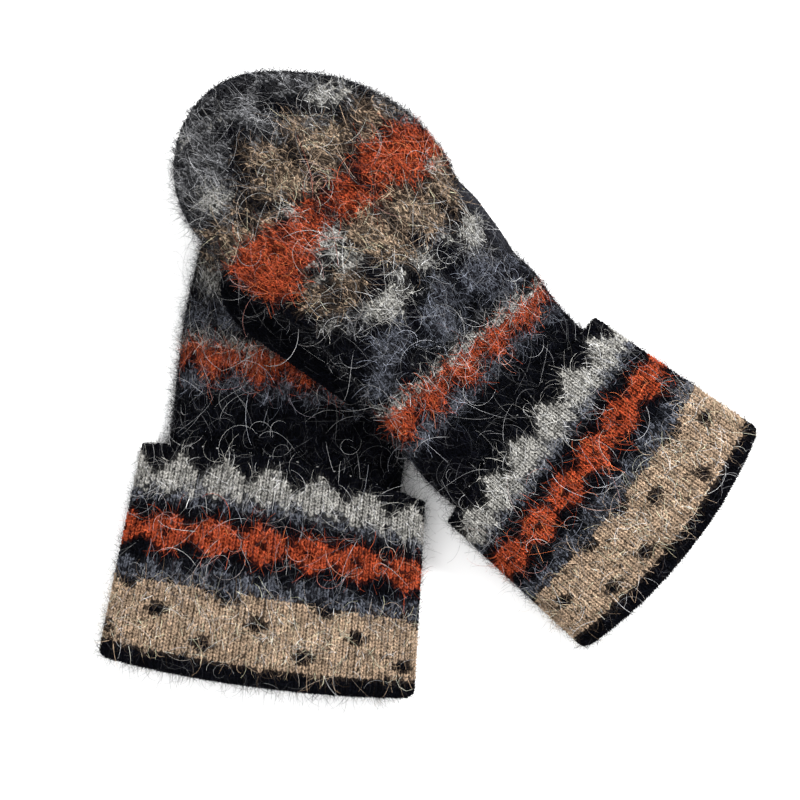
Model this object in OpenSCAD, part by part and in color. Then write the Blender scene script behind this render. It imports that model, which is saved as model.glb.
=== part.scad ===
// A pair of lined wool mittens, lying one across the other.
// Each mitten is built in its own frame: y runs from the fold of the turned cuff to the
// fingertips, x runs across the hand, z is up, and the origin is below the middle of the fold.
// Lists of two values hold the left mitten first and the right mitten second.

/* [Cloth] */
// Thickness of the brushed wool knit
knit_t = 2.6; // [2.2:0.1:2.8]
// Thickness of the fleece lining
fleece_t = 1.3; // [1:0.1:1.5]
// Gap between two layers of cloth
layer_gap = 0.15; // [0.1:0.05:0.25]

/* [Hand] */
// Length of the left mitten from cuff fold to fingertip
left_len = 254; // [250:1:258]
// Length of the right mitten from cuff fold to fingertip
right_len = 274; // [270:1:278]
// Length of the rounding of the fingertips
tip_len = 73; // [68:1:76]
// Roundness of a flattened section, where 2 is an ellipse
section_power = 2.4; // [2.2:0.1:2.8]

/* [Thumb] */
// Half width of the thumb
thumb_half = 19; // [18:0.5:20]
// Half thickness of the thumb
thumb_thick = 6.9; // [6.6:0.1:7.2]
// Distance from the cuff fold to the swing axis of the thumb
thumb_hinge_y = 164; // [162:1:166]
// Distance from the cuff fold to the end of the thumb
thumb_tip_y = 220; // [216:1:223]

/* [Cuff] */
// Turned-up height of the left cuff
left_cuff_len = 89; // [86:1:92]
// Turned-up height of the right cuff
right_cuff_len = 83; // [80:1:86]
// Distance between the tacking stitches along the free edge of a cuff
tack_pitch = 4.6; // [4:0.1:6]

/* [Hidden] */
LEFT = 0;
RIGHT = 1;
SIDES = ["left", "right"];

wool_dark = "#1b1d24";
wool_grey = "#4b4d55";
wool_sand = "#c5a684";
thread_light = "#b9b9b4";
fleece = "#2a2c33";

// Where each mitten lies: the middle of its cuff fold, and its turn about z
lie_x = [-73.6, 104.4];
lie_y = [-125.6, -66.6];
lie_turn = [-7.6, 51.6];
thumb_side = [1, -1];

length = [left_len, right_len];
cuff_len = [left_cuff_len, right_cuff_len];
body_start = 4;
lip_depth = 3.6;

// Half widths of the hand at the wrist and across the knuckles, and of the cuff at both ends
wrist_half = [50.5, 46];
palm_half = [51.5, 47];
cuff_fold_half = [67, 58.5];
cuff_free_half = [60.5, 52];

// How far the fold and the free edge bow outward at their middles, and the free edge's slant
fold_bow = [3.5, 7];
free_bow = [6, 3];
free_slant = [-4.5, 2.4];

// Half thicknesses at the same places
hand_thick = [10.4, 11.4];
cuff_fold_thick = [11.9, 17];
cuff_free_thick = [12.2, 14.6];

// Height of the middle of each section, at four distances from the fold
height_y = [20, 84, 150, 178];
height_left = [11.6, 12.4, 17, 17];
height_right = [16.7, 28, 52.4, 54.5];
tip_droop = [3.5, 9];

// Rise per unit of x, because one side of each hand lies on its thumb
roll_left = 0.16;
roll_right = -0.13;

// Sideways lean of the hand, from the wrist to the fingertips
lean = [9, 18.5];
lean_start = [135, 84];
lean_end = [235, 168];

// Middle line of each thumb: start inside the hand, x at the tip and height of its middle
thumb_start_y = 110;
thumb_start_x = [31, -20];
thumb_tip_x = [46, -26];
thumb_height = [6.8, 38.8];
socket_r = 20.4;
socket_gap = 0.4;
// Room over each thumb, under the palm, that its swing needs
thumb_clearance = [4.0, 2.9];

arc_points = 11;
ring_points = 20;

function mix(a, b, t) = a + (b - a) * t;
function ease(t) = let (k = min(1, max(0, t))) k * k * (3 - 2 * k);
function ramp(y, y0, y1) = ease((y - y0) / (y1 - y0));
function signed_pow(v, p) = (v < 0 ? -1 : 1) * pow(abs(v), p);

function tip_start(m) = length[m] - tip_len;
// The fingertip closes along a round outline: 1 before tip_start, small at the very end
function tip_close(m, y, p) = y <= tip_start(m) ? 1
    : pow(max(0.0001, 1 - pow((y - tip_start(m)) / tip_len, p)), 1 / p);

function middle_x(m, y) = lean[m] * ramp(y, lean_start[m], lean_end[m]);
function roll(m, y) = (m == LEFT ? roll_left : roll_right)
    * ramp(y, 22, 140) * (1 - 0.6 * ramp(y, 190, length[m]));
function middle_z(m, y) = let (h = m == LEFT ? height_left : height_right)
    h[0] + (h[1] - h[0]) * ramp(y, height_y[0], height_y[1] + 26)
    + (h[2] - h[1]) * ramp(y, height_y[1] + 4, height_y[2])
    + (h[3] - h[2]) * ramp(y, height_y[2], height_y[3])
    - tip_droop[m] * ramp(y, 186, length[m] + 20);

function cuff_half(m, y) = mix(cuff_fold_half[m], cuff_free_half[m], y / cuff_len[m]);
function cuff_thick(m, y) = mix(cuff_fold_thick[m], cuff_free_thick[m], y / cuff_len[m]);
cover = knit_t + 2 * layer_gap + 0.6;

// Outer half width and half thickness of the hand, kept inside the turned cuff
function hand_half(m, y) = min(
    mix(wrist_half[m], palm_half[m], ramp(y, 110, 185)),
    y < cuff_len[m] + 10 ? cuff_half(m, y) - cover : 1000) * tip_close(m, y, 2.15);
function hand_half_thick(m, y) = min(
    hand_thick[m],
    y < cuff_len[m] + 10 ? cuff_thick(m, y) - cover : 1000) * tip_close(m, y, 2.8) + 0.6;

// A point on a section of the hand, inset from its outer face; a is the angle round it
function section_point(m, y, half, thick, a) =
    let (across = signed_pow(cos(a), 2 / section_power),
         x = half * across,
         z = thick * signed_pow(sin(a), 2 / section_power),
         bow = fold_bow[m] * (1 - across * across) * max(0, 1 - y / cuff_len[m]))
    [middle_x(m, y) + x, y - bow, middle_z(m, y) + z + roll(m, y) * x];
// Cloth that lies inside the knit gets a little more room at the fingertip.
function hand_point(m, y, inset, a) =
    let (deep = inset + (inset > knit_t ? 0.45 * ramp(y, tip_start(m), length[m] - 8) : 0))
    section_point(m, y, max(1.5, hand_half(m, y) - deep), max(0.3, hand_half_thick(m, y) - deep), a);

// A solid lofted through rings of points; each ring turns the same way, x towards z
module loft(rings) {
    n = len(rings[0]);
    last = (len(rings) - 1) * n;
    polyhedron(points = [for (r = rings, p = r) p], faces = concat(
        [for (k = [0 : len(rings) - 2], i = [0 : n - 1], half = [0, 1])
            let (j = (i + 1) % n, a = k * n, b = a + n)
            half == 0 ? [a + i, a + j, b + j] : [a + i, b + j, b + i]],
        [for (i = [0 : n / 2 - 2], half = [0, 1])
            half == 0 ? [i + 1, i, n - 1 - i] : [i + 1, n - 1 - i, n - 2 - i]],
        [for (i = [0 : n / 2 - 2], half = [0, 1])
            half == 0 ? [last + i, last + i + 1, last + n - 1 - i]
                : [last + i + 1, last + n - 2 - i, last + n - 1 - i]]));
}

// Distances from the fold at which the hand is sectioned, closer together at the fingertip
function hand_stations(m, first, last) = concat(
    [first, 20, 38, 56, 74, cuff_len[m] + 9, 110, 124, 138, 155, 170, tip_start(m)],
    [for (k = [1 : 5]) tip_start(m) + (last - tip_start(m)) * sin(k * 16.6)]);

// One half of a cloth tube round the hand: the back for up = 1, the palm for up = -1
module half_shell(m, up, inset, t, first, end_gap) {
    outer_y = hand_stations(m, first, length[m] - end_gap);
    inner_y = hand_stations(m, first, length[m] - end_gap - t);
    start = up > 0 ? 0 : 180;
    step = 180 / (arc_points - 1);
    loft([for (k = [0 : len(outer_y) - 1]) concat(
        [for (i = [0 : arc_points - 1]) hand_point(m, outer_y[k], inset, start + i * step)],
        [for (i = [arc_points - 1 : -1 : 0]) hand_point(m, inner_y[k], inset + t, start + i * step)])]);
}

// The whole outer form of the hand, grown by a gap, for cutting what lies against it
module hand_form(m, gap) {
    loft([for (y = hand_stations(m, body_start + 60, length[m] - 0.5))
        [for (i = [0 : ring_points - 1]) hand_point(m, y, -gap, i * 360 / ring_points)]]);
}

// Thumb line and sections, in the frame of its mitten
function thumb_x(m, y) = mix(thumb_start_x[m], thumb_tip_x[m],
    (y - thumb_start_y) / (thumb_tip_y - thumb_start_y));
function thumb_close(y, end, p) = y <= thumb_tip_y - 26 ? 1
    : pow(max(0.0001, 1 - pow((y - thumb_tip_y + 26) / (26 + end), p)), 1 / p);
function thumb_ring(m, y, inset) = [for (i = [0 : ring_points - 1])
    let (a = i * 360 / ring_points,
         half = max(1, thumb_half * thumb_close(y, 0, 2.1) - inset),
         thick = max(0.5, (thumb_thick - inset) * thumb_close(y, -inset / 2, 2.6)))
    [thumb_x(m, y) + half * signed_pow(cos(a), 2 / section_power), y,
     thumb_height[m] + thick * signed_pow(sin(a), 2 / section_power)]];
module thumb_form(m, inset, first = thumb_start_y) {
    last = thumb_tip_y - inset;
    loft([for (y = concat([first, 130, 158, thumb_tip_y - 26],
                          [for (k = [1 : 5]) thumb_tip_y - 26 + (last - thumb_tip_y + 26) * sin(k * 16.8)]))
        thumb_ring(m, y, inset)]);
}
module thumb_round(m, r) {
    translate([thumb_x(m, thumb_hinge_y), thumb_hinge_y, -20])
        cylinder(r = r, h = 90, $fn = 72);
}
// Everything beyond the hinge, which swings, with its round end
module thumb_zone(m) {
    thumb_round(m, socket_r);
    translate([thumb_x(m, thumb_hinge_y) - 40, thumb_hinge_y, -20]) cube([80, 80, 90]);
}
// Everything before the hinge, with a round hollow for the end of the thumb
module gusset_zone(m) {
    difference() {
        translate([thumb_x(m, thumb_hinge_y) - 40, 60, -20]) cube([80, thumb_hinge_y - 60, 90]);
        thumb_round(m, socket_r + socket_gap);
    }
}

module lying(m) {
    translate([lie_x[m], lie_y[m], 0]) rotate([0, 0, lie_turn[m]]) children();
}
module on_table() {
    intersection() {
        children();
        translate([-200, -40, 0]) cube([400, 400, 200]);
    }
}

module panel(m, up, inset, t, first, end_gap) {
    difference() {
        half_shell(m, up, inset, t, first, end_gap);
        thumb_form(m, inset + t - layer_gap);
    }
}
module back_panel(m) {
    color(wool_grey) lying(m) panel(m, 1, 0, knit_t, body_start, 0.4);
}
module palm_panel(m) {
    color(wool_dark) lying(m) panel(m, -1, 0, knit_t, body_start, 0.4);
}
lining_inset = knit_t + layer_gap;
module lining_back(m) {
    color(fleece) lying(m) panel(m, 1, lining_inset, fleece_t, body_start + 3, lining_inset + 1.4);
}
module lining_palm(m) {
    color(fleece) lying(m) panel(m, -1, lining_inset, fleece_t, body_start + 3, lining_inset + 1.4);
}

module turned_cuff(m) {
    end = cuff_len[m];
    outer = [[0, 2.4], [1.2, 0.8], [3.5, 0], [28, 0], [56, 0], [end - 1.4, 0.1], [end, 1]];
    inner = [[end, knit_t - 0.7], [end - 1.6, knit_t], [56, knit_t], [28, knit_t],
             [lip_depth + 0.2, knit_t]];
    lip = [[lip_depth, 0], [1.4, -0.6], [0, -0.1]];
    color(wool_sand) lying(m) on_table() tube_loft(concat(
        [for (s = outer) cuff_ring(m, s[0], s[1])],
        [for (s = inner) cuff_ring(m, s[0], s[1])],
        [for (s = lip) [for (i = [0 : 2 * ring_points - 1])
            hand_point(m, s[0], knit_t + s[1], i * 180 / ring_points)]]));
}
function cuff_point(m, y, inset, a) =
    let (across = signed_pow(cos(a), 2 / section_power),
         shift = (free_slant[m] * across + free_bow[m] * (1 - across * across))
             * max(0, y / cuff_len[m]))
    section_point(m, y, cuff_half(m, y) - inset, cuff_thick(m, y) - inset, a)
    + [0, shift, middle_z(m, y + shift) - middle_z(m, y)];
function cuff_ring(m, y, inset) =
    [for (i = [0 : 2 * ring_points - 1]) cuff_point(m, y, inset, i * 180 / ring_points)];

// A ring-shaped solid: each ring of points joins the next, and the last joins the first
module tube_loft(rings) {
    n = len(rings[0]);
    c = len(rings);
    polyhedron(points = [for (r = rings, p = r) p], faces = [
        for (k = [0 : c - 1], i = [0 : n - 1], half = [0, 1])
            let (j = (i + 1) % n, a = k * n, b = ((k + 1) % c) * n)
            half == 0 ? [a + i, a + j, b + j] : [a + i, b + j, b + i]]);
}

// Short light stitches that hold down the free edge of the turned cuff
module cuff_stitches(m) {
    count = floor(PI * cuff_free_half[m] * 1.3 / tack_pitch / 2) * 2;
    y = cuff_len[m] - 2.2;
    color(thread_light) lying(m)
        for (i = [0 : count - 1]) {
            a = i * 360 / count + 180 / count;
            p = cuff_point(m, y, -0.8, a);
            if (p[2] > 1) translate(p) cube([0.9, 1.8, 0.5], center = true);
        }
}

// Thread along the edge where back and palm are joined, from the cuff round the fingertips
module side_seam(m) {
    seam_r = 0.8;
    outer_side = thumb_side[m] > 0 ? 180 : 0;
    function edge(y, a) = hand_point(m, y, -seam_r - 1.1, a)
        + [0, 2 * ramp(y, tip_start(m), length[m]), 0];
    start = tip_start(m);
    along = [for (k = [1 : 5]) start + (tip_len - 0.2) * sin(k * 16.6)];
    path = concat(
        [for (y = [cuff_len[m] + 11, 110, 124, 138, 155, 170, start]) edge(y, outer_side)],
        [for (k = [0 : 4]) edge(along[k], outer_side)],
        [for (k = [4 : -1 : 0]) edge(along[k], 180 - outer_side)],
        [edge(start, 180 - outer_side)]);
    color(wool_dark) lying(m) loft([for (i = [0 : len(path) - 1])
        let (before = path[max(0, i - 1)], after = path[min(len(path) - 1, i + 1)],
             d = after - before, w = [d[1], -d[0], 0] / norm([d[0], d[1]]))
        [for (k = [0 : 5]) path[i] + seam_r * (w * cos(k * 60) + [0, 0, 1] * sin(k * 60))]]);
}

module thumb_gusset(m) {
    color(wool_dark) lying(m) on_table() intersection() {
        difference() {
            thumb_form(m, 0);
            thumb_form(m, knit_t - 0.2, thumb_start_y - 1);
            hand_form(m, socket_gap / 2);
        }
        gusset_zone(m);
    }
}
module thumb(m) {
    color(wool_dark) lying(m) on_table() intersection() {
        difference() {
            thumb_form(m, 0);
            thumb_form(m, knit_t - 0.2, thumb_start_y - 1);
            hand_form(m, thumb_clearance[m]);
        }
        thumb_zone(m);
    }
}
thumb_lining_inset = knit_t - 0.2 + layer_gap;
module thumb_sleeve(m, clearance) {
    difference() {
        thumb_form(m, thumb_lining_inset);
        thumb_form(m, thumb_lining_inset + fleece_t - 0.1, thumb_start_y - 1);
        hand_form(m, clearance);
    }
}
module gusset_lining(m) {
    color(fleece) lying(m) intersection() {
        thumb_sleeve(m, socket_gap);
        gusset_zone(m);
    }
}
module thumb_lining(m) {
    color(fleece) lying(m) intersection() {
        thumb_sleeve(m, thumb_clearance[m]);
        thumb_zone(m);
    }
}

module shown(name) {
    children();
}
for (m = [LEFT, RIGHT]) {
    shown(str(SIDES[m], "_back_panel")) back_panel(m);
    shown(str(SIDES[m], "_palm_panel")) palm_panel(m);
    shown(str(SIDES[m], "_side_seam")) side_seam(m);
    shown(str(SIDES[m], "_turned_cuff")) turned_cuff(m);
    shown(str(SIDES[m], "_cuff_stitches")) cuff_stitches(m);
    shown(str(SIDES[m], "_thumb_gusset")) thumb_gusset(m);
    shown(str(SIDES[m], "_thumb")) thumb(m);
    shown(str(SIDES[m], "_lining_back")) lining_back(m);
    shown(str(SIDES[m], "_lining_palm")) lining_palm(m);
    shown(str(SIDES[m], "_gusset_lining")) gusset_lining(m);
    shown(str(SIDES[m], "_thumb_lining")) thumb_lining(m);
}
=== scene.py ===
import math

import bpy
import numpy as np
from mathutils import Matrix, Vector


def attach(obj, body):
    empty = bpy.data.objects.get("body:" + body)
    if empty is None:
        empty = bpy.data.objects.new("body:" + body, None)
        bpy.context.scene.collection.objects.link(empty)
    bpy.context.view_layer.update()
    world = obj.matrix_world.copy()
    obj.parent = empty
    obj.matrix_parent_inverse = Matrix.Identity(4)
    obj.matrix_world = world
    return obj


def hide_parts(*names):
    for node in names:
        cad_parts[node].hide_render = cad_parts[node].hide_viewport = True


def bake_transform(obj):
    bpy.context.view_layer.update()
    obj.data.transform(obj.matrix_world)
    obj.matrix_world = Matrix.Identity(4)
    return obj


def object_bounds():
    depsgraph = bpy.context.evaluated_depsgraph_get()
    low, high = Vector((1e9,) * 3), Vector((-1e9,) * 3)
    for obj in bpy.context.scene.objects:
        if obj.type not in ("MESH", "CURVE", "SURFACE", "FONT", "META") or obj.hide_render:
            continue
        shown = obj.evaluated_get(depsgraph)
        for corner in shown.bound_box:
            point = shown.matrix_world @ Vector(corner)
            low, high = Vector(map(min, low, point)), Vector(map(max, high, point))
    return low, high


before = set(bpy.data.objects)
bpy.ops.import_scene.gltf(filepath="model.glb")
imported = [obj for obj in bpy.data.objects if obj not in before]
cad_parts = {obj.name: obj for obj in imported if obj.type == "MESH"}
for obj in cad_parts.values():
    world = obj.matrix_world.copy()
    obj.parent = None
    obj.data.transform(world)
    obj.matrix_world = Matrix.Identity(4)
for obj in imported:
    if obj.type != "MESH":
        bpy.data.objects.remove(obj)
cad_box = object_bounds()

# ---------------------------------------------------------------- eye
# The pair lies on a table, fingertips away from the viewer, who looks
# straight down at it from a bit over a metre.
LOOK_AT = Vector((-0.0114, -0.0078, 0.025))
EYE_HEIGHT = 1.35
VIEW_WIDTH = 0.344

eye = bpy.data.objects.new("eye", bpy.data.cameras.new("eye"))
eye.location = (LOOK_AT.x, LOOK_AT.y, LOOK_AT.z + EYE_HEIGHT)
eye.data.lens = eye.data.sensor_width * EYE_HEIGHT / VIEW_WIDTH
eye.data.clip_start = 0.05
bpy.context.collection.objects.link(eye)
bpy.context.scene.camera = eye

# ---------------------------------------------------------------- patterned backs
# The back of each hand is stocking stitch in brushed wool. Its chart has a rust zigzag
# tipped with cream above the wrist, one large figure with rust lobes and sand petals,
# and heather grey at the fingertips. Sizes are millimetres from the cuff's fold.
MM = 0.001
SQUARENESS = 2.4
TIP = 73.0
COVER = 3.5
ROW = 1.6
HAND_STITCHES = 44
GAUGE = 2
FIRST_ROW_Y = 80.0


def ramp(y, start, end):
    k = np.clip((y - start) / (end - start), 0, 1)
    return k * k * (3 - 2 * k)


def signed_power(v, power):
    return np.sign(v) * np.abs(v) ** power


class Mitten:
    """One mitten's form: a flattened tube with rising, leaning centre line."""

    def __init__(self, side, body, place, turn, **sizes):
        self.side, self.body, self.place, self.turn = side, body, place, math.radians(turn)
        self.__dict__.update(sizes)

    def middle_x(self, y):
        return self.lean * ramp(y, *self.lean_span)

    def middle_z(self, y):
        h = self.heights
        rise = (h[1] - h[0]) * ramp(y, 20, 110) + (h[2] - h[1]) * ramp(y, 88, 150)
        return (h[0] + rise + (h[3] - h[2]) * ramp(y, 150, 178)
                - self.droop * ramp(y, 186, self.length + 20))

    def roll(self, y):
        return self.tilt * ramp(y, 22, 140) * (1 - 0.6 * ramp(y, 190, self.length))

    def tip_close(self, y, power):
        s = np.clip((y - self.length + TIP) / TIP, 0, 1)
        return np.maximum(0.0001, 1 - s ** power) ** (1 / power)

    def cuff_half(self, y):
        return self.cuff_halves[0] + (self.cuff_halves[1] - self.cuff_halves[0]) * y / self.cuff

    def cuff_thick(self, y):
        return self.cuff_thicks[0] + (self.cuff_thicks[1] - self.cuff_thicks[0]) * y / self.cuff

    def hand_half(self, y):
        wide = self.halves[0] + (self.halves[1] - self.halves[0]) * ramp(y, 110, 185)
        inside = np.where(y < self.cuff + 10, self.cuff_half(y) - COVER, 1000)
        return np.minimum(wide, inside) * self.tip_close(y, 2.15)

    def hand_thick(self, y):
        inside = np.where(y < self.cuff + 10, self.cuff_thick(y) - COVER, 1000)
        return np.minimum(self.thick, inside) * self.tip_close(y, 2.8) + 0.6

    def section(self, y, half, thick, angle):
        """Points on a section across the mitten, at an angle round it."""
        across = signed_power(np.cos(angle), 2 / SQUARENESS)
        x = half * across
        z = thick * signed_power(np.sin(angle), 2 / SQUARENESS)
        bow = self.fold_bow * (1 - across ** 2) * np.maximum(0, 1 - y / self.cuff)
        return np.stack([self.middle_x(y) + x, y - bow + 0 * x,
                         self.middle_z(y) + z + self.roll(y) * x], axis=-1)

    def hand_skin(self, y, angle, grown=0.0):
        p = self.section(y, np.maximum(0.8, self.hand_half(y) + grown),
                         np.maximum(0.2, self.hand_thick(y) + grown), angle)
        aside = p[..., 0] - self.middle_x(y)
        fuller = self.shoulder * ramp(y, 165, 198) * (1 - ramp(y, 222, 256))
        slimmer = self.waist * ramp(y, 112, 138) * (1 - ramp(y, 158, 182))
        p[..., 0] += np.maximum(0, aside) * (fuller - slimmer)
        p[..., 0] += np.minimum(0, aside) * self.shoulder * ramp(y, 215, 262)
        return p

    def palm_height(self, x, y):
        """Height of the palm's surface under a place on the hand; high beyond its edges."""
        out = np.clip(np.abs(x - self.middle_x(y)) / self.hand_half(y), 0, 1)
        drop = self.hand_thick(y) * (1 - out ** SQUARENESS) ** (1 / SQUARENESS)
        height = self.middle_z(y) - drop + self.roll(y) * (x - self.middle_x(y))
        return np.where(out < 1, height, 1000)

    def lying(self, p):
        """From the mitten's own millimetres to where it lies, in metres."""
        c, s = math.cos(self.turn), math.sin(self.turn)
        x = self.place[0] + p[..., 0] * c - p[..., 1] * s
        y = self.place[1] + p[..., 0] * s + p[..., 1] * c
        return np.stack([x, y, p[..., 2]], axis=-1) * MM


LEFT = Mitten(
    "left", "lower_mitten", (-73.6, -125.6), -7.6, length=254.0, cuff=89.0,
    halves=(50.5, 51.5), thick=10.4, cuff_halves=(67, 60.5), cuff_thicks=(11.9, 12.2),
    heights=(11.6, 12.4, 17, 17), droop=3.5, tilt=0.16, lean=9.0, lean_span=(135, 235),
    fold_bow=3.5, free_bow=6.0, free_slant=-4.5, bias=0.0, waist=0.0, shoulder=0.0,
    thumb_xs=(31, 46), thumb_z=6.8)
RIGHT = Mitten(
    "right", "upper_mitten", (104.4, -66.6), 51.6, length=270.5, cuff=83.0,
    halves=(46, 47), thick=11.4, cuff_halves=(58.5, 52), cuff_thicks=(17, 14.6),
    heights=(16.7, 28, 52.4, 54.5), droop=9.0, tilt=-0.13, lean=18.5, lean_span=(84, 168),
    fold_bow=7.0, free_bow=3.0, free_slant=2.4, bias=0.25, waist=0.12, shoulder=0.10,
    thumb_xs=(-20, -26), thumb_z=38.8)
PAIR = (LEFT, RIGHT)


class Flow:
    """A shader socket; arithmetic on it adds Math nodes."""

    def __init__(self, add, socket):
        self.add, self.socket = add, socket

    def maths(self, operation, a, b):
        return self.add("ShaderNodeMath", {"operation": operation}, {0: a, 1: b})

    def __mul__(self, other):
        return self.maths("MULTIPLY", self, other)

    __rmul__ = __mul__


class Finish:
    """A material whose nodes all come from one method."""

    def __init__(self, name):
        self.material = bpy.data.materials.new(name)
        self.material.use_nodes = True
        self.tree = self.material.node_tree

    def feed(self, socket, value):
        if isinstance(value, Flow):
            self.tree.links.new(value.socket, socket)
        else:
            socket.default_value = value

    def add(self, kind, settings=None, sockets=None, output=0):
        node = self.tree.nodes.new(kind)
        for key, value in (settings or {}).items():
            if key == "stops":
                for stop, (place, colour) in zip(node.color_ramp.elements, value):
                    stop.position, stop.color = place, colour
            else:
                setattr(node, key, value)
        for key, value in (sockets or {}).items():
            self.feed(node.inputs[key], value)
        return Flow(self.add, node.outputs[output])

    def noise(self, scale, detail, roughness=0.5):
        place = self.add("ShaderNodeTexCoord", output=3)
        return self.add("ShaderNodeTexNoise", {}, {
            "Vector": place, "Scale": scale, "Detail": detail, "Roughness": roughness})

    def spread(self, value, low, high):
        """Stretches noise round its middle to run from low to high."""
        return self.add("ShaderNodeMapRange", {}, {
            "Value": value, "From Min": 0.34, "From Max": 0.66, "To Min": low, "To Max": high})

    def done(self, **sockets):
        shader = self.tree.nodes["Principled BSDF"]
        for key, value in sockets.items():
            self.feed(shader.inputs[key.replace("_", " ")], value)
        return self.material


def wool(name, fibre_scale, low, high, bumpiness):
    """Dyed wool: its colour is kept stitch by stitch and broken up by fibres."""
    f = Finish(name)
    dyed = f.add("ShaderNodeVertexColor", {"layer_name": "yarn"})
    fibre = f.noise(fibre_scale, 4.0, 0.7)
    clump = f.noise(260.0, 2.0)
    light = f.spread(fibre, low, high) * f.spread(clump, 0.75, 1.25)
    tone = f.add("ShaderNodeVectorMath", {"operation": "SCALE"}, {0: dyed, "Scale": light})
    bump = f.add("ShaderNodeBump", {}, {
        "Strength": bumpiness, "Distance": 0.0005, "Height": fibre})
    return f.done(Base_Color=tone, Roughness=1.0, Normal=bump, Specular_IOR_Level=0.02)


KNIT_WOOL = wool("brushed_wool_knit", 1700.0, 0.35, 1.65, 0.7)

# Yarn colours: navy, blue-grey, heather grey, cream, sand and rust
YARN = {
    ".": (0.0016, 0.0018, 0.0030),
    "m": (0.078, 0.084, 0.102),
    "g": (0.150, 0.151, 0.158),
    "w": (0.300, 0.292, 0.270),
    "s": (0.350, 0.250, 0.171),
    "r": (0.295, 0.049, 0.0185),
}
NAVY = np.array(YARN["."])

# For each chart letter, its yarn and the share of its legs that take up navy
MIXED = {".": (".", 0.0), "m": ("m", 0.32), "g": ("g", 0.38), "h": ("g", 0.72), "w": ("w", 0.03),
         "s": ("s", 0.02), "t": ("s", 0.62), "r": ("r", 0.06), "q": ("r", 0.26)}

# One leg of a stitch: across and up in stitches, then depth and thickness in millimetres.
# Two legs meet low down like a V and tuck under the row above.
LEG = np.array([
    (0.04, -0.84, -0.95, 0.18),
    (0.13, -0.36, -0.32, 0.50),
    (0.27, 0.26, -0.24, 0.56),
    (0.33, 0.74, -0.85, 0.20),
])
LEG_SIDES = 4
BACKING_DEPTH = 0.6


def stitch_mould():
    """Corners and faces of one stitch; a corner is (across, up, depth, sideways, outwards)."""
    corners, faces = [], []
    for side in (-1, 1):
        first = len(corners)
        for across, up, depth, thick in LEG:
            for k in range(LEG_SIDES):
                a = 2 * math.pi * k / LEG_SIDES
                corners.append((side * across, up, depth,
                                thick * math.cos(a), thick * math.sin(a)))
        for ring in range(len(LEG) - 1):
            for k in range(LEG_SIDES):
                a = first + ring * LEG_SIDES + k
                b = first + ring * LEG_SIDES + (k + 1) % LEG_SIDES
                faces.append((a, b, b + LEG_SIDES, a + LEG_SIDES))
    return np.array(corners), np.array(faces)


MOULD, MOULD_FACES = stitch_mould()


def unit(v):
    return v / np.maximum(1e-12, np.linalg.norm(v, axis=-1, keepdims=True))


def over_table(points):
    """Presses whatever would go below the tabletop flat against it."""
    z = points[..., 2] / MM
    points[..., 2] = np.where(z < 1.2, 0.2 + np.exp((np.minimum(z, 1.2) - 1.2) / 1.0), z) * MM
    return points


def mesh_piece(name, points, faces, colours, material):
    """An object from points, four-cornered faces and a yarn colour at each point."""
    mesh = bpy.data.meshes.new(name)
    mesh.vertices.add(len(points))
    mesh.vertices.foreach_set("co", over_table(points).astype(np.float32).ravel())
    mesh.loops.add(faces.size)
    mesh.loops.foreach_set("vertex_index", faces.astype(np.int32).ravel())
    mesh.polygons.add(len(faces))
    mesh.polygons.foreach_set("loop_start", np.arange(0, faces.size, 4, dtype=np.int32))
    mesh.polygons.foreach_set("use_smooth", np.ones(len(faces), bool))
    mesh.update(calc_edges=True)
    layer = mesh.color_attributes.new("yarn", "FLOAT_COLOR", "POINT")
    rgba = np.concatenate([colours, np.ones((len(colours), 1))], axis=1)
    layer.data.foreach_set("color", rgba.astype(np.float32).ravel())
    mesh.materials.append(material)
    piece = bpy.data.objects.new(name, mesh)
    bpy.context.collection.objects.link(piece)
    return piece


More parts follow.
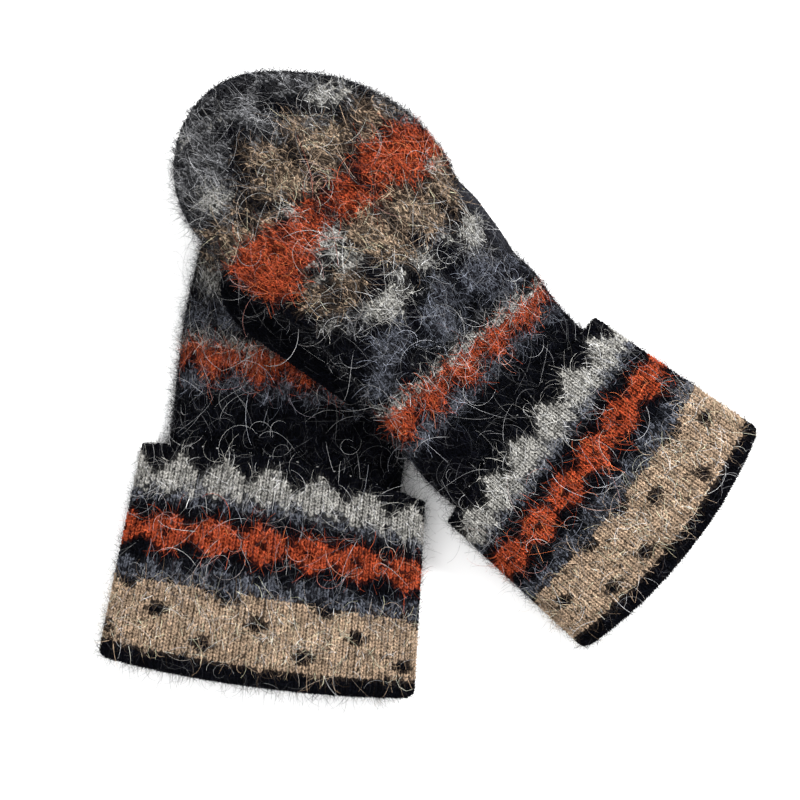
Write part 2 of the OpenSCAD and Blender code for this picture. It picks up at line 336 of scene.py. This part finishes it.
class Fabric:
    """Stocking stitch over a grid of points at every half stitch and half row. Here and
    there a stitch strays: it takes the colour of one beside it in the chart."""

    def __init__(self, places, inner, chart, seed, present=None, stray=0.03):
        rng = np.random.default_rng(seed)
        self.places = places
        run, rise = np.gradient(places, axis=1), np.gradient(places, axis=0)
        out = unit(np.cross(run, rise))
        facing = np.sign(np.sum(out * (places - inner), axis=-1, keepdims=True))
        self.out = out * np.where(facing == 0, 1, facing)
        rows, columns = places.shape[0] // 2, places.shape[1] // 2
        chart = np.array([list(row) for row in chart])
        strays = rng.choice([-1, 0, 1], (2, rows, columns), p=[stray, 1 - 2 * stray, stray])
        row_of = (np.arange(rows)[:, None] + strays[0]).clip(0, rows - 1)
        column_of = (np.arange(columns) + strays[1]).clip(0, columns - 1)
        letters = chart[row_of % chart.shape[0], column_of % chart.shape[1]]
        self.present = np.ones(letters.shape, bool) if present is None else present
        self.dye(letters, rng)
        self.rng = rng

    def dye(self, letters, rng):
        """A colour for each leg of each stitch; some legs take up navy at random."""
        base = np.zeros(letters.shape + (3,))
        mixed = np.zeros(letters.shape)
        for letter, (yarn, share) in MIXED.items():
            base[letters == letter] = YARN[yarn]
            mixed[letters == letter] = share
        near = np.pad(base, ((1, 1), (1, 1), (0, 0)), mode="edge")
        near = (near[:-2, 1:-1] + near[2:, 1:-1] + near[1:-1, :-2] + near[1:-1, 2:]) / 4
        base = 0.86 * base + 0.14 * near
        legs = base[:, :, None] * rng.normal(1, 0.17, letters.shape + (2, 1)).clip(0.55, 1.5)
        taken = rng.uniform(0, 1, letters.shape + (2, 1)) < mixed[..., None, None]
        navy = np.where(taken, 0.85, 0.06)
        self.legs = legs * (1 - navy) + NAVY * navy
        self.stitches = self.legs.mean(axis=2)

    def knit(self, name):
        """The stitches, with painted shade where they sink, over a dark backing of navy and painted
        shade that closes the gaps between them.
        """
        p, keep, m = self.places, self.present.ravel(), MOULD
        centre = p[1::2, 1::2].reshape(-1, 3)[keep]
        across = (p[1::2, 2::2] - p[1::2, :-1:2]).reshape(-1, 3)[keep]
        up = (p[2::2, 1::2] - p[:-1:2, 1::2]).reshape(-1, 3)[keep]
        bend = 2 * (p[2::2, 1::2] + p[:-1:2, 1::2] - 2 * p[1::2, 1::2]).reshape(-1, 3)[keep]
        out = self.out[1::2, 1::2].reshape(-1, 3)[keep]
        legs = self.legs.reshape(-1, 2, 3)[keep]
        n = len(centre)
        uneven = self.rng.normal(0, 1, (n, 3))
        plump = 1 + 0.09 * uneven[:, 0, None]
        depth = m[:, 2] + m[:, 4] * plump + 0.08 * uneven[:, 1, None]
        points = (centre[:, None] + across[:, None] * m[None, :, 0:1]
                  + up[:, None] * (m[None, :, 1:2] + 0.06 * uneven[:, None, 2:3])
                  + bend[:, None] * m[None, :, 1:2] ** 2
                  + out[:, None] * depth[..., None] * MM
                  + unit(across)[:, None] * (m[:, 3] * plump)[..., None] * MM)
        # Painted shade: each leg's colour is darkened the deeper it sinks below the stitch's crown,
        # to 8% in the deepest parts.
        shade = np.clip(1 + (m[:, 2] + m[:, 4] - 0.1) * 1.05, 0.08, 1.0)
        half = len(m) // 2
        tints = np.repeat(legs, half, axis=1) * shade[None, :, None]
        faces = (MOULD_FACES[None] + (np.arange(n) * len(m))[:, None, None]).reshape(-1, 4)
        rows, columns = p.shape[:2]
        index = n * len(m) + np.arange(rows * columns).reshape(rows, columns)
        backing = np.stack([index[:-1, :-1], index[:-1, 1:], index[1:, 1:], index[1:, :-1]], -1)
        # The backing's colour is partly the navy of the floats behind and partly painted shade: each
        # stitch's own colour is kept at about a sixth of its strength in the gaps.
        under = np.repeat(np.repeat(self.stitches, 2, 0), 2, 1)
        under = np.pad(under, ((0, 1), (0, 1), (0, 0)), mode="edge") * 0.16 + NAVY * 0.5
        behind = p - self.out * BACKING_DEPTH * MM
        return mesh_piece(
            name, np.concatenate([points.reshape(-1, 3), behind.reshape(-1, 3)]),
            np.concatenate([faces, backing.reshape(-1, 4)]),
            np.concatenate([tints.reshape(-1, 3), under.reshape(-1, 3)]), KNIT_WOOL)


def arc_from_crown(half, thick):
    """Length round a quarter of each section from its crown, and the angles there."""
    angles = np.linspace(math.pi / 2, 0, 73)
    x = half[:, None] * signed_power(np.cos(angles), 2 / SQUARENESS)
    z = thick[:, None] * signed_power(np.sin(angles), 2 / SQUARENESS)
    steps = np.hypot(np.diff(x, axis=1), np.diff(z, axis=1))
    return angles, np.concatenate([np.zeros((len(half), 1)), np.cumsum(steps, axis=1)], axis=1)


def length_along(points):
    return np.concatenate([[0], np.cumsum(np.linalg.norm(np.diff(points, axis=0), axis=1))])


def panel_places(m, up):
    """Half-stitch places over the back (up = 1) or palm (up = -1) of a hand. The columns
    keep their width beyond the start of the tip, so its outline cuts them off."""
    start = m.length - TIP
    y = np.concatenate([np.linspace(FIRST_ROW_Y, start, 300)[:-1],
                        start + (TIP - 0.15) * np.sin(np.linspace(0, math.pi / 2, 300))])
    run = length_along(m.hand_skin(y, np.full_like(y, up * math.pi / 2)))
    y = np.interp(np.arange(2 * int(run[-1] / ROW) + 1) * ROW / 2, run, y)
    angles, arc = arc_from_crown(m.hand_half(y), m.hand_thick(y))
    full = arc[:, -1]
    pitch = np.where(y < start, full, np.interp(start, y, full)) / (HAND_STITCHES / 2)
    s = (np.arange(2 * HAND_STITCHES + 1) / 2 - HAND_STITCHES / 2) * pitch[:, None]
    bias = m.bias * ramp(y, 62, 145) * (1 - ramp(y, 212, m.length - 8))
    slanted = np.clip(y[:, None] - bias[:, None] * s, FIRST_ROW_Y, m.length - 0.15)
    share = np.abs(s) / np.interp(slanted, y, full)
    inside = share <= 1.01
    a = [np.interp(np.minimum(row, 1) * row_arc[-1], row_arc, angles)
         for row, row_arc in zip(share, arc)]
    a = np.where(s < 0, math.pi - np.array(a), a) * up
    present = inside[1::2, 1::2] & inside[1::2, :-1:2] & inside[1::2, 2::2]
    return m.hand_skin(slanted, a), present


# The zigzag is charted stitch by stitch and repeats across the hand. The figure and the
# fingertips are charted in squares of GAUGE stitches by GAUGE rows.
ZIGZAG = [
    "..m.....", ".mmm..mm", "mmmm.mmm", "mm.m.mmm", "mm..r.mm", "m..rrr.m", "...rrr..", "..rrrrr.",
    "..rrrrr.", ".rrrrrrr", "rrrrrrrr", "rrrrrrrr", "rrwrrrwr", "wrwwrwww", "w.ww.ww.", ".w..w..w",
]
FIGURE = [
    "..m.mm....mm......m..m",
    "...mmmm..mmm.m..mm.mm.",
    "...mmmm..mmmm..mmmm.mm",
    "....mmmm..mmmm.mmmmmm.",
    "......mm...mmm.mmmm...",
    ".......w...hm...mm.h..",
    "......www...h....gg...",
    "...g.wwwww.......gww..",
    "....ggwwww..ww....wwg.",
    "..w.......w.ww..w.www.",
    "....tt....g.t..gg..w..",
    "...t..tt...tt..tt.....",
    "....t.tt..ttt..ttt.t..",
    "..ttt.tt..ttt.tttt.tt.",
    "...tt.tww.ttt.tttt.t..",
    "....tw..w.ttt.tttt.tt.",
    "..qq....w.ttt.ttt.ttt.",
    ".qqqq.w.w.ttt.ttt..tt.",
    ".qqqqqqwww.tt.tt.qqwt.",
    "qqqqqqqqww..q.q.qqqqqq",
    "qqqqqqqqqq.qqq.qqqqqqq",
    "qqqqqqqqqq.qqq.qqqqqqq",
    "qqqqqqqqqq.qqq.qqqqqqq",
    ".qqqqqqqqq.qqq.qqqqqq.",
    ".h.qqqq.wqq..q.qqqqqqh",
    ".tt.t.t.w..t.t..qq.qhg",
    "..ttt.tt..tt.tt..t..hg",
    ".h.tt.h..ttt.ttt..tthg",
    "..htt...tttt.tttt.ttt.",
    "..tth.t.tttt..ttt.tth.",
    ".tt.gt..tttt.tttt.ht..",
    ".th..g..tttt..ttg..g..",
    ".hh.www...gtt.tg..ww..",
    "..hgwwg...ttg.tt.wwg..",
    "...gwwwg..tt.gt..ww...",
    "....gwhg..tg.h....g...",
    "..g..hhhg....g...hh...",
    ".ggg.hhgg...gg..hhhg..",
    ".gggghhggg..gg..hhggh.",
    "ggggghgggg..ggg.hhgggh",
    "gggghggggh.hgggghhhggh",
]
FINGERTIPS = [
    "wghgg..hhgwg.h..hggwg.",
    "gghg..hhggg.h..hgghgg.",
    ".gg..hgwgg.....gghggh.",
    "gg..hggggh.hg.hggwg.gh",
    "g..hhgwg..hggwhgghg..g",
    "..hgghg..hhggghggh...h",
]

# Plain squares between the cuff and the zigzag, the share of the figure's rows that is
# worked, and how often a stitch strays to each side
WRIST_ROWS = {"left": 12, "right": 7}
FIGURE_SHARE = {"left": 0.74, "right": 1.0}
BACK_STRAY = 0.12
CLOUDS = {
    "left": [],
    "right": ["...h......h......h....", ".mmm..h..mmm..h..mmm.h", "mmmm....mmmmm...mmmm.m"],
}


def enlarged(chart):
    """A chart with each of its squares worked over GAUGE stitches and GAUGE rows."""
    return ["".join(letter * GAUGE for letter in row) for row in chart for _ in range(GAUGE)]


for m in PAIR:
    share = FIGURE_SHARE[m.side]
    figure = [FIGURE[int(i / share)] for i in range(int(len(FIGURE) * share))]
    wrist = ["." * (HAND_STITCHES // GAUGE)] * WRIST_ROWS[m.side]
    zigzag = [(row * HAND_STITCHES)[:HAND_STITCHES] for row in ZIGZAG]
    chart = enlarged(wrist) + zigzag + enlarged(CLOUDS[m.side] + figure + FINGERTIPS * 4)
    if m.side == "left":
        chart = [row[::-1] for row in chart]
    places, present = panel_places(m, 1)
    places = m.lying(places)
    m.back = Fabric(places, places - [0, 0, 1], chart, 11, present, BACK_STRAY)
    back = m.back.knit(f"{m.side}_back_knit")
    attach(back, m.body)
    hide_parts(f"{m.side}_back_panel")

# ---------------------------------------------------------------- plain palms
# The palms are the same wool and stitch as the backs, in plain navy,
# knitted in one with them.
for m in PAIR:
    places, present = panel_places(m, -1)
    places = m.lying(places)
    m.palm = Fabric(places, places + [0, 0, 1], ["." * (HAND_STITCHES // GAUGE)], 12, present)
    palm = m.palm.knit(f"{m.side}_palm_knit")
    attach(palm, m.body)
    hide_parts(f"{m.side}_palm_panel")

# ---------------------------------------------------------------- side edges
# A narrow strip of navy stitches runs up one side, round the fingertips and down the
# other side, where the back's columns and the palm's are drawn together.
EDGE_RADIUS = 2.3
EDGE_STITCHES = 4

for m in PAIR:
    start = m.length - TIP
    y = np.concatenate([np.linspace(FIRST_ROW_Y, start, 200)[:-1],
                        start + (TIP - 0.1) * np.sin(np.linspace(0, math.pi / 2, 200))])
    sides = [m.hand_skin(y, np.full_like(y, a), -EDGE_RADIUS + 0.6) for a in (math.pi, 0.0)]
    path = np.concatenate([sides[0], sides[1][::-1]])
    run = length_along(path)
    steps = np.arange(2 * int(run[-1] / ROW) + 1) * ROW / 2
    path = np.stack([np.interp(steps, run, path[:, k]) for k in range(3)], axis=1)
    ahead = unit(np.gradient(path, axis=0))
    away = unit(np.stack([-ahead[:, 1], ahead[:, 0], 0 * steps], axis=1))
    above = unit(np.cross(ahead, away))
    bend = np.linspace(-1.9, 1.9, 2 * EDGE_STITCHES + 1)[None, :, None]
    tube = (path[:, None] + EDGE_RADIUS * (away[:, None] * np.cos(bend)
                                           + above[:, None] * np.sin(bend)))
    inner = m.lying(path)[:, None] + 0 * tube
    m.edge = Fabric(m.lying(tube), inner, ["..", "h.", ".h", "hh", ".."], 15)
    edge = m.edge.knit(f"{m.side}_edge_knit")
    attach(edge, m.body)
    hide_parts(f"{m.side}_side_seam")

# ---------------------------------------------------------------- turned-up cuffs
# Each cuff is knitted on with bands of sand, grey, rust flowers and cream, then folded
# back over the wrist. Its navy rows run round the fold and a little way inside, and the
# brushed wool stands LOFT proud of the cuff's plain form.
CUFF_STITCHES = 104
CUFF_ROWS = 60
FOLD_ROWS = 8
FOLD_RADIUS = 2.7
LOFT = 1.9
CUFF_BANDS = ["................"] * 14 + [
    "ssssssssssssssss",
    "ssssssssssssssss",
    "sss..sssssssssss",
    "ss....ssssssssss",
    "ss...sssssssssss",
    "sss..sssssssssss",
    "ssssssssssssssss",
    "ssssssssssssssss",
    "ssssssssssssssss",
    "sssssssssss..sss",
    "ssssssssss....ss",
    "sssssssssss...ss",
    "sssssssssss..sss",
    "ssssssssssssssss",
    "ssssssssssssssss",
    "ssssss..ssssssss",
    "sssss....sssssss",
    "ssss.....sssssss",
    "mm.mmmmmmm.mmm.m",
    "mmmmm.mmmmmmm.mm",
    "m.mmmm.m.mmmmmmm",
    ".mmm.mm.mmm.mmm.",
    ".mm.mmm..mm..mm.",
    "..m..m...m...m..",
    "................",
    "................",
    "...r.......r....",
    "..rrr.....rrr...",
    ".rrrrr...rrrrr..",
    "rrrrrrr.rrrrrrr.",
    "rrr.rrrrrrr.rrrr",
    "rr..rrrrrr..rrrr",
    "rrrrrrr.rrrrrrr.",
    "rrrrrrr.rrrrrrr.",
    ".rrrrr...rrrrr..",
    "..r.r.....r.r...",
    "................",
    "................",
    "....m.......m...",
    "m.m.m.mmm.mm.m.m",
    "mmgmmmgmmmgmmmgm",
    "mgwgmgwgmgwgmgwg",
    "gwwwgwwggwwwgwwg",
    "wwwwwwwgwwwwwwwg",
    "wwwwwwwwwwwwwwww",
    "wwwwwwwwwwwwwwww",
    "wwwwwww.wwwwwww.",
    ".wwwwww..wwwwww.",
    ".wwwww...wwwww..",
    "..www.....www...",
    "...ww......ww...",
    "...w.......w....",
    "................",
    "................",
]
CUFF_SEAM = {"left": -0.24, "right": 0.42}


def cuff_places(m):
    """Half-stitch places from inside the fold, round it and up to the free edge."""
    bend = np.linspace(0.1, math.pi - 0.1, 16)
    inside = np.stack([np.linspace(9, 3.4, 12), np.full(12, 2 * FOLD_RADIUS)], 1)
    fold = np.stack([FOLD_RADIUS * (1 - np.sin(bend)), FOLD_RADIUS * (1 + np.cos(bend))], 1)
    outside = np.stack([np.linspace(3.4, m.cuff, 300), np.zeros(300)], 1)
    steps = np.concatenate([inside, fold, outside])
    run = length_along(steps)
    turned = (run[len(inside)] + run[len(inside) + len(fold) - 1]) / 2
    along = np.concatenate([np.linspace(0, turned, 2 * FOLD_ROWS + 1)[:-1],
                            np.linspace(turned, run[-1], 2 * CUFF_ROWS + 1)])
    y = np.interp(along, run, steps[:, 0]) - LOFT
    inset = np.interp(along, run, steps[:, 1]) - LOFT
    angles, arc = arc_from_crown(m.cuff_half(y), m.cuff_thick(y))
    turn = (np.arange(2 * CUFF_STITCHES + 1) / 2 / CUFF_STITCHES + CUFF_SEAM[m.side]) % 1
    to_side = np.concatenate([angles, -angles[::-1][1:]])
    all_round = np.concatenate([math.pi - to_side[::-1][:-1], to_side])
    a = []
    for quarter in arc:
        half = np.concatenate([quarter, 2 * quarter[-1] - quarter[::-1][1:]])
        whole = np.concatenate([-half[::-1][:-1], half])
        a.append(np.interp((turn - 0.5) * 2 * half[-1], whole, all_round))
    a = np.array(a)
    across = signed_power(np.cos(a), 2 / SQUARENESS)
    y, inset = y[:, None] + 0 * a, inset[:, None]
    shift = (m.free_slant * across + m.free_bow * (1 - across ** 2)) * np.maximum(0, y / m.cuff)
    places = m.section(y, m.cuff_half(y) - inset, m.cuff_thick(y) - inset, a)
    places[..., 1] += shift
    places[..., 2] += m.middle_z(y + shift) - m.middle_z(y)
    return places


for m in PAIR:
    places = m.lying(cuff_places(m))
    inner = places.mean(axis=1, keepdims=True)
    m.cuff_fabric = Fabric(places, inner, CUFF_BANDS, 13)
    cuff = m.cuff_fabric.knit(f"{m.side}_cuff_knit")
    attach(cuff, m.body)
    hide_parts(f"{m.side}_turned_cuff")

# ---------------------------------------------------------------- thumbs
# A plain navy thumb grows out of the palm at a gusset and is closed at its end. It is
# one soft tube, pressed flat where it lies against the palm.
THUMB_STITCHES = 36
THUMB_HALF = 19.0
THUMB_THICK = 6.9
THUMB_ENDS = (112.0, 220.0)
THUMB_TIP = 26.0
GUSSET_END = 150.0
THUMB_BEND = (152.0, 176.0)


def thumb_middle(m, y):
    return m.thumb_xs[0] + (m.thumb_xs[1] - m.thumb_xs[0]) * (y - 110) / 110


def thumb_skin(m, y, angle):
    s = np.clip((y - THUMB_ENDS[1] + THUMB_TIP) / THUMB_TIP, 0, 1)
    half = np.maximum(0.8, THUMB_HALF * np.maximum(0.0001, 1 - s ** 2.1) ** (1 / 2.1))
    thick = np.maximum(0.3, THUMB_THICK * np.maximum(0.0001, 1 - s ** 2.6) ** (1 / 2.6))
    x = thumb_middle(m, y) + half * signed_power(np.cos(angle), 2 / SQUARENESS)
    z = m.thumb_z + thick * signed_power(np.sin(angle), 2 / SQUARENESS)
    z = np.minimum(z, m.palm_height(x, y) - 0.6)
    return np.stack([x, y + 0 * x, z], axis=-1)


def bend_with_thumb(m, piece):
    root, end = (tuple(m.lying(np.array([thumb_middle(m, y), y, m.thumb_z])))
                 for y in THUMB_BEND)
    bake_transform(piece)


for m in PAIR:
    tip_start = THUMB_ENDS[1] - THUMB_TIP
    y = np.concatenate([np.linspace(THUMB_ENDS[0], tip_start, 200)[:-1],
                        tip_start + (THUMB_TIP - 0.1) * np.sin(np.linspace(0, math.pi / 2, 99))])
    run = length_along(thumb_skin(m, y, np.full_like(y, -math.pi / 2)))
    y = np.interp(np.arange(2 * int(run[-1] / ROW) + 1) * ROW / 2, run, y)[:, None]
    a = np.arange(2 * THUMB_STITCHES + 1) / THUMB_STITCHES * math.pi
    local = thumb_skin(m, y, (a + 0.18 * np.sin(2 * a))[None])
    centre = local[1::2, 1::2]
    lower = np.sin(a[1::2]) < 0.1
    proud = centre[..., 2] < m.palm_height(centre[..., 0], centre[..., 1]) - 0.2
    present = (centre[..., 1] > GUSSET_END) | (proud & lower)
    places = m.lying(local)
    inner = places.mean(axis=1, keepdims=True)
    m.thumb = Fabric(places, inner, ["." * THUMB_STITCHES], 14, present)
    thumb = m.thumb.knit(f"{m.side}_thumb_knit")
    bend_with_thumb(m, thumb)
    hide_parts(f"{m.side}_thumb", f"{m.side}_thumb_gusset")

# ---------------------------------------------------------------- brushed nap
# The knit is brushed, so fibres of each yarn are drawn out over the stitches and blur
# the edges of the pattern, and long pale guard hairs curl across and stand out round it.
NAP_WOOL = wool("raised_wool_fibre", 800.0, 0.6, 1.4, 0.0)
PALE = np.array([0.26, 0.26, 0.265])
NAP_REACH = 11.0
NAVY_FIBRES = 0.12
BRIGHTEST = 0.55


def nap(name, fabrics, count, seed, lengths, lift, width, pale, shadowed, steps, wander):
    """Fibres as narrow ribbons rooted in the stitches of weighted fabrics, with painted light and
    shade in their colours.
    """
    rng = np.random.default_rng(seed)
    parts = []
    for fabric, weight in fabrics:
        p, keep = fabric.places, fabric.present.ravel()
        centre = p[1::2, 1::2].reshape(-1, 3)[keep]
        across = (p[1::2, 2::2] - p[1::2, :-1:2]).reshape(-1, 3)[keep]
        up = (p[2::2, 1::2] - p[:-1:2, 1::2]).reshape(-1, 3)[keep]
        area = np.linalg.norm(np.cross(across, up), axis=1, keepdims=True) * weight
        parts.append(np.concatenate([
            centre, across, up, fabric.out[1::2, 1::2].reshape(-1, 3)[keep],
            fabric.stitches.reshape(-1, 3)[keep], area], axis=1))
    roots = np.concatenate(parts)
    roots = roots[rng.choice(len(roots), count, p=roots[:, -1] / roots[:, -1].sum())]
    centre, across, up, out, tint = (roots[:, k:k + 3] for k in (0, 3, 6, 9, 12))
    spot = rng.uniform(-0.5, 0.5, (count, 2))
    root = centre + across * spot[:, :1] + up * spot[:, 1:] - out * 0.6 * MM
    along, aside = unit(up), unit(np.cross(out, up))
    length = rng.uniform(*lengths, count) * rng.uniform(0.6, 1.0, count) * MM
    heading = rng.normal(0, 0.62, count) + math.pi * (rng.uniform(0, 1, count) < 0.4)
    heading = np.where(rng.uniform(0, 1, count) < 0.22, rng.uniform(0, 7, count), heading)
    t = np.linspace(0, 1, steps)
    curl = rng.normal(0, wander, (count, 1)) * t + rng.normal(0, wander, (count, 1)) * t ** 2
    turn = heading[:, None] + curl
    step = length[:, None] / (steps - 1)
    ahead = np.cumsum(np.cos(turn) * step, axis=1) - np.cos(turn[:, :1]) * step
    sideways = np.cumsum(np.sin(turn) * step, axis=1) - np.sin(turn[:, :1]) * step
    rise = (rng.uniform(*lift, (count, 1)) * np.sin(t * rng.uniform(1.2, 2.6, (count, 1)))
            + 0.9 * t) * MM
    path = (root[:, None] + along[:, None] * ahead[..., None]
            + aside[:, None] * sideways[..., None] + out[:, None] * rise[..., None])
    low, high = (np.array(corner) for corner in cad_box)
    reach = NAP_REACH * MM
    beside = (path > low - reach) | (np.arange(3) == 2)
    fits = (beside & (path < high + reach)).all(axis=(1, 2))
    path, out, tint = path[fits], out[fits], tint[fits]
    n = len(path)
    flat = unit(np.cross(out[:, None] + rng.normal(0, 0.4, (n, 1, 3)), np.gradient(path, axis=1)))
    edge = flat * (rng.uniform(0.7, 1.2, (n, 1)) * width / 2 * MM * (1 - 0.6 * t))[..., None]
    share = np.clip(rng.normal(*pale, (n, 1)), 0, 1)
    # Painted light and shade: each fibre's colour is scaled at random as if lit more or less, and
    # the share set by shadowed is painted nearly black as shade among the fibres.
    lit = np.exp(rng.normal(0.25, 0.75, (n, 1))).clip(0.2, 3.6)
    lit = np.where(rng.uniform(0, 1, (n, 1)) < shadowed, 0.08 * lit, lit)
    tint = np.where(rng.uniform(0, 1, (n, 1)) < NAVY_FIBRES, NAVY, tint)
    colour = np.minimum((tint * (1 - share) + PALE * share) * lit, BRIGHTEST)
    first = (np.arange(n) * steps * 2)[:, None] + np.arange(steps - 1) * 2
    faces = np.stack([first, first + 1, first + 3, first + 2], axis=-1).reshape(-1, 4)
    points = np.stack([path - edge, path + edge], axis=2).reshape(-1, 3)
    return mesh_piece(name, points, faces, np.repeat(colour, steps * 2, axis=0), NAP_WOOL)


DOWN = {"lengths": (2.5, 7.0), "lift": (0.3, 1.4), "width": 0.24, "pale": (-0.04, 0.035),
        "shadowed": 0.5, "steps": 4, "wander": 0.5}
BRUSHED = {"lengths": (5.0, 14.0), "lift": (0.5, 2.4), "width": 0.12, "pale": (-0.05, 0.07),
           "shadowed": 0.4, "steps": 5, "wander": 0.7}
GUARD = {"lengths": (14.0, 34.0), "lift": (0.8, 4.0), "width": 0.10, "pale": (0.36, 0.24),
         "shadowed": 0.0, "steps": 12, "wander": 1.6}

for m in PAIR:
    hand = [(m.back, 1.0), (m.palm, 0.25), (m.edge, 0.9)]
    cuff = [(m.cuff_fabric, 1.0)]
    for part, fabrics, slot, counts in (("hand", hand, "patterned_wool", (21000, 24500, 900)),
                                        ("cuff", cuff, "cuff_wool", (7000, 12000, 700))):
        for kind, look, count in zip(("down", "nap", "guard_hairs"), (DOWN, BRUSHED, GUARD), counts):
            fibres = nap(f"{m.side}_{part}_{kind}", fabrics, count, 21, **look)
            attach(fibres, m.body)
    bend_with_thumb(m, nap(f"{m.side}_thumb_nap", [(m.thumb, 1.0)], 6000, 23, **BRUSHED))

# ---------------------------------------------------------------- fleece linings
# A dark short-pile fleece, cut and sewn, lines each hand and thumb.
# It is held by the tacking at the wrist and shows only there.
fleece = Finish("dark_fleece")
pile = fleece.noise(900.0, 5.0)
tone = fleece.add("ShaderNodeValToRGB", {
    "stops": [(0.3, (0.004, 0.004, 0.006, 1)), (0.72, (0.022, 0.023, 0.028, 1))]}, {"Fac": pile})
bump = fleece.add("ShaderNodeBump", {}, {"Strength": 0.9, "Distance": 0.0008, "Height": pile})
FLEECE = fleece.done(Base_Color=tone, Roughness=1.0, Normal=bump, Specular_IOR_Level=0.05)


def refinish(m, part, material):
    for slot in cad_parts[f"{m.side}_{part}"].material_slots:
        slot.material = material


for m in PAIR:
    for part in ("lining_back", "lining_palm", "gusset_lining", "thumb_lining"):
        refinish(m, part, FLEECE)

# ---------------------------------------------------------------- tacking
# Short stitches of pale thread, evenly spaced, hold the free edge of each cuff
# down to the hand.
thread = Finish("sewing_thread")
twist = thread.noise(2200.0, 2.0)
tone = thread.add("ShaderNodeValToRGB", {
    "stops": [(0.3, (0.10, 0.10, 0.10, 1)), (0.7, (0.24, 0.24, 0.235, 1))]}, {"Fac": twist})
THREAD = thread.done(Base_Color=tone, Roughness=0.8, Specular_IOR_Level=0.1)
for m in PAIR:
    refinish(m, "cuff_stitches", THREAD)

# ---------------------------------------------------------------- tabletop and light
# A plain white tabletop under one large soft lamp at the upper right,
# in an evenly lit white room.
TABLE_HALF = 3.0
corners = [(x * TABLE_HALF, y * TABLE_HALF, -0.0002)
           for x, y in ((-1, -1), (1, -1), (1, 1), (-1, 1))]
table = bpy.data.meshes.new("tabletop")
table.from_pydata(corners, [], [(0, 1, 2, 3)])
paint = Finish("white_tabletop")
grain = paint.noise(30.0, 2.0)
tone = paint.add("ShaderNodeValToRGB", {
    "stops": [(0.3, (0.94, 0.94, 0.94, 1)), (0.7, (0.97, 0.97, 0.97, 1))]}, {"Fac": grain})
table.materials.append(paint.done(Base_Color=tone, Roughness=0.9))
tabletop = bpy.data.objects.new("tabletop", table)
bpy.context.collection.objects.link(tabletop)


def lamp(name, place, size, power):
    light = bpy.data.objects.new(name, bpy.data.lights.new(name, "AREA"))
    light.data.shape = "DISK"
    light.data.size = size
    light.data.energy = power
    light.location = place
    light.rotation_euler = (LOOK_AT - Vector(place)).to_track_quat("-Z", "Y").to_euler()
    bpy.context.collection.objects.link(light)


lamp("window", (0.75, 0.75, 1.3), 0.7, 56)
lamp("ceiling", (-0.5, -0.2, 1.8), 1.6, 14)
room = bpy.data.worlds.new("room")
bpy.context.scene.world = room
room.use_nodes = True
room.node_tree.nodes["Background"].inputs["Color"].default_value = (1, 1, 1, 1)
room.node_tree.nodes["Background"].inputs["Strength"].default_value = 1.2
bpy.context.scene.view_settings.view_transform = "Standard"
